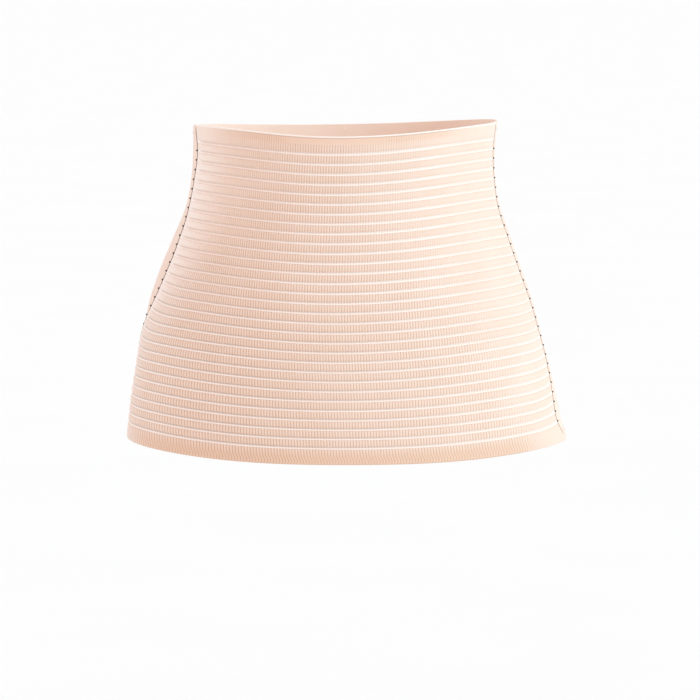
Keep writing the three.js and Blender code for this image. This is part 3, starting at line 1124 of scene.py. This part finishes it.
def stripe_material():
    """A pale ridge, dulled in places by painted shade, and over it a darker open net that closes at the
    seams; the net's dark is painted shadow of the band above, and it fades out there.
    """
    nodes = Nodes("openwork_net", 0.75, 0.3)
    across, up = nodes.place("Web")
    from_seam, strength = nodes.place("Edge")
    gap = nodes.ramp(nodes.waves(across), 0.15, 0.4)
    fleck = nodes.ramp(nodes.noise(1700, 2), 0.3, 0.7)

    # Painted shade that dulls the ridge: on the left away from the seam, more so higher up; low down
    # from the middle rightwards; and on the right above the hem.
    ridge_shade_left = nodes.times(
        nodes.ramp(across, -45.0, 0.0, 0.7, 0.2),
        nodes.ramp(from_seam, 5.0, 14.0),
        nodes.ramp(up, 80.0, 170.0, 0.2, 1.0),
    )
    ridge_shade_middle = nodes.times(
        nodes.ramp(across, -45.0, -5.0, 0.0, 0.45), nodes.ramp(up, 100.0, 180.0, 1.0, 0.0)
    )
    ridge_shade_right = nodes.times(nodes.ramp(across, 25.0, 55.0, 0.0, 0.7), nodes.ramp(up, 60.0, 100.0))
    ridge_shade = nodes.math("MAXIMUM", ridge_shade_left, ridge_shade_middle, ridge_shade_right)
    ridge = nodes.mix(ridge_shade, nodes.mix(fleck, RIDGE, RIDGE_FLECK), RIDGE_SHADED)
    ridge = nodes.mix(nodes.times(gap, strength, 0.35), ridge, RIDGE_BEAD)

    period = (STRIPE_HEIGHT + BAND_HEIGHT) / MM
    level = nodes.math("SUBTRACT", up, HEM_HEIGHT / MM - 1.0)
    level = nodes.math("FLOORED_MODULO", level, period)
    # Painted shadow: the net is painted dark as the shadow under each band's lower edge; it is weaker
    # to the right and higher up and fades out next to the seams.
    shade = nodes.times(
        nodes.ramp(level, 2.30, 2.60),
        nodes.ramp(from_seam, 3.0, 9.0),
        nodes.ramp(across, -50.0, 5.0, 0.75, 0.55),
        nodes.ramp(across, 0.0, 45.0, 1.0, 0.5),
        nodes.ramp(up, 80.0, 200.0, 1.0, 0.55),
    )
    nodes.colour(nodes.mix(shade, ridge, nodes.mix(gap, NET_SHADOW, NET_GAP_SHADOW)))
    strand = nodes.waves(nodes.math("DIVIDE", up, NET_PITCH))
    nodes.bump(nodes.math("ADD", strand, nodes.times(fleck, 0.3)), 0.06 * MM, 0.6)
    return nodes.material


def plain_material(name, pale, dark):
    """Plain stretch web with a fine diagonal weave."""
    nodes = Nodes(name, 0.85, 0.25)
    across, up = nodes.place("Web")
    across = nodes.math("DIVIDE", across, TWILL_PITCH)
    fine = nodes.waves(nodes.math("SUBTRACT", across, nodes.math("DIVIDE", up, TWILL_PITCH)))
    cross = nodes.waves(nodes.math("DIVIDE", up, TWILL_PITCH * 0.8))
    cloud = nodes.ramp(nodes.noise(30, 3), 0.3, 0.7)
    fleck = nodes.ramp(nodes.noise(1400, 2), 0.3, 0.7)
    tone = nodes.mix(nodes.times(cloud, 0.25), pale, dark)
    tone = nodes.mix(nodes.times(fleck, 0.3), tone, dark)
    nodes.colour(nodes.mix(nodes.times(fine, 0.5), tone, dark))
    height = nodes.math("ADD", fine, nodes.times(cross, 0.6), nodes.times(fleck, 0.4))
    nodes.bump(height, 0.08 * MM, 0.7)
    return nodes.material


def closure_material():
    """Loop pile, in soft clouds."""
    nodes = Nodes("closure_tape", 0.92, 0.4)
    cloud = nodes.ramp(nodes.noise(40, 3), 0.3, 0.7)
    pile = nodes.ramp(nodes.noise(900, 4), 0.35, 0.65)
    tone = nodes.mix(nodes.times(pile, 0.6), PILE_DARK, PILE_LIGHT)
    nodes.colour(nodes.mix(nodes.times(cloud, 0.2), tone, PILE_CLOUD))
    nodes.bump(pile, 0.25 * MM, 0.8)
    return nodes.material


def thread_material(name, pale, dark):
    """Twisted thread."""
    nodes = Nodes(name, 0.6, 0.2)
    twist = nodes.ramp(nodes.noise(2600, 3), 0.3, 0.7)
    nodes.colour(nodes.mix(twist, pale, dark))
    nodes.bump(twist, 0.08 * MM, 0.6)
    return nodes.material


def floor_material():
    """A plain, nearly white floor."""
    nodes = Nodes("pale_floor", 0.9, 0.0)
    cloud = nodes.ramp(nodes.noise(3, 3), 0.2, 0.8)
    nodes.colour(nodes.mix(cloud, (0.95, 0.975, 0.97, 1), (0.96, 0.985, 0.98, 1)))
    return nodes.material


# Stage: a floor so far below that the binder hangs as it is worn, an even light from all round,
# and two wide suns.
FLOOR_HALF = 400.0
FLOOR_BELOW = 0.35
WORLD_COLOUR = (1.0, 0.885, 0.857, 1)
WORLD_STRENGTH = 0.93


def make_floor():
    """The floor, below the whole scene."""
    mesh = bpy.data.meshes.new("floor")
    half = FLOOR_HALF
    corners = [(-half, -half, 0), (half, -half, 0), (half, half, 0), (-half, half, 0)]
    mesh.from_pydata(corners, [], [(0, 1, 2, 3)])
    mesh.materials.append(floor_material())
    floor = bpy.data.objects.new("floor", mesh)
    floor.location.z = -FLOOR_BELOW
    bpy.context.scene.collection.objects.link(floor)


def aim(name, data, back):
    """An object of a light's or camera's data, with its back to the given direction."""
    thing = bpy.data.objects.new(name, data)
    thing.rotation_mode = "QUATERNION"
    thing.rotation_quaternion = (-back).to_track_quat("-Z", "Y")
    bpy.context.scene.collection.objects.link(thing)
    return thing


def make_sun(name, comes_from, strength, spread, colour):
    data = bpy.data.lights.new(name, "SUN")
    data.energy = strength
    data.angle = math.radians(spread)
    data.color = colour
    aim(name, data, Vector(comes_from))


def make_world():
    world = bpy.data.worlds.new("studio")
    world.use_nodes = True
    background = world.node_tree.nodes["Background"]
    background.inputs["Color"].default_value = WORLD_COLOUR
    background.inputs["Strength"].default_value = WORLD_STRENGTH
    bpy.context.scene.world = world


def make_camera():
    """The photograph's viewing angle and framing."""
    data = bpy.data.cameras.new("camera")
    data.sensor_width = SENSOR_WIDTH
    data.lens = SENSOR_WIDTH * CAMERA_DISTANCE / METRES_PER_PIXEL / IMAGE_SIDE
    data.clip_start = 0.1
    data.clip_end = 1000
    back = Vector((0, -math.cos(CAMERA_ELEVATION), math.sin(CAMERA_ELEVATION)))
    camera = aim("camera", data, back)
    camera.location = CAMERA_TARGET + back * CAMERA_DISTANCE
    bpy.context.scene.camera = camera


def main():
    make_camera()
    bands = band_material()
    stripes = stripe_material()
    plain = plain_material("plain_elastic", *WING_TONES)
    # Seam threads painted darker on the shaded left and paler on the lit right, and dark knots, partly
    # painted shadow.
    thread = thread_material("seam_thread", *LEFT_THREAD_SHADED_TONES)
    lit_thread = thread_material("lit_seam_thread", *RIGHT_THREAD_LIT_TONES)
    knots = thread_material("seam_knots_and_shadow", *KNOT_SHADOW_TONES)
    stitch = thread_material("stitch_thread", *STITCH_TONES)

    front = backing_web(plain_material("web_backing", *BACKING_TONES))
    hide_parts("front_panel")
    front_pieces = [
        ribbed_bands(bands),
        openwork_stripes(stripes),
        edge_band("header_band", HEADER_PROFILE, HEADER_FOOT, bands, header_strip),
        edge_band("hem_band", HEM_PROFILE, 0.0, bands),
        seam_thread("left_seam_thread", -1, LEFT_KNOT_RADIUS, [thread, knots]),
        seam_thread("right_seam_thread", 1, RIGHT_KNOT_RADIUS, [lit_thread, knots]),
    ]
    for name, side in (("left_wing", -1), ("right_wing", 1)):
        wing = wing_web(f"{name}_web", side, plain)
        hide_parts(name)
        stitches = wing_stitches(f"{name}_stitches", side, stitch)
    closure = back_closure(closure_material())
    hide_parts("back_fastener")
    closure_thread = closure_stitches(stitch)

    make_floor()
    make_world()
    make_sun("key", comes_from=(0.94, -0.34, 0.36), strength=1.78, spread=30, colour=(0.47, 0.83, 0.96))
    make_sun("rim", comes_from=(-0.92, 0.39, 0.25), strength=0.5, spread=36, colour=(0.4, 0.8, 1.0))
    bpy.context.scene.view_settings.view_transform = "Standard"


main()
